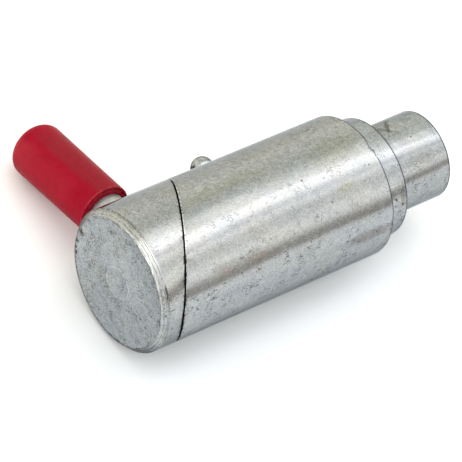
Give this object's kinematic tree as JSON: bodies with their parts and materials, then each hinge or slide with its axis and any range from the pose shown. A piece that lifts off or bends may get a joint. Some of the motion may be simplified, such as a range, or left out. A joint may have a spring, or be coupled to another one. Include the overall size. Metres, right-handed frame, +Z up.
{
  "type": "twist lock plunger",
  "caption": "Weld-on lock plunger: twisting the handled knob rides its slanted face up the barrel's and draws the sprung lock pin back.",
  "frame": {"origin": "on the barrel's axis, where the guide nose stands out of the barrel's front face", "axes": "+X along the axis towards the lock pin's tip, +Y towards the handle's side, +Z up as the plunger lies at rest on its barrel and the end of its grip"},
  "size_m": [0.104, 0.0786, 0.04],
  "materials": {
    "zinc_plate": "mottled bright zinc plate on turned steel",
    "grip_vinyl": "satin moulded vinyl",
    "nipple_plate": "bright plated steel",
    "spring_steel": "greased spring wire"
  },
  "bodies": {
    "housing": {"barrel": "zinc_plate", "guide_bush": "zinc_plate", "return_spring": "spring_steel", "grease_nipple": "nipple_plate", "nipple_spring": "spring_steel"},
    "spring_seat": {"spring_washer": "spring_steel"},
    "plunger": {"lock_pin": "zinc_plate", "knob": "zinc_plate", "handle_rod": "zinc_plate", "grip": "grip_vinyl"},
    "valve_ball": {"nipple_ball": "nipple_plate"}
  },
  "joints": [
    {"name": "pin_slide", "type": "slide", "parent": "housing", "child": "spring_seat", "axis": [-1, 0, 0], "range_m": [0, 0.0225], "stiffness_N_per_m": 3700, "springref_m": -0.0095, "deforming": ["return_spring"]},
    {"name": "knob_twist", "type": "hinge", "parent": "spring_seat", "child": "plunger", "pos_m": [0, 0, 0], "axis": [1, 0, 0], "range_deg": [0, 120]},
    {"name": "valve_lift", "type": "slide", "parent": "housing", "child": "valve_ball", "axis": [0, -0.9746, 0.224], "range_m": [0, 0.0008], "stiffness_N_per_m": 600, "springref_m": -0.002, "deforming": ["nipple_spring"]}
  ],
  "couplings": [
    {"joint": "knob_twist", "follows": "pin_slide", "rad_per_m": 93.08}
  ]
}
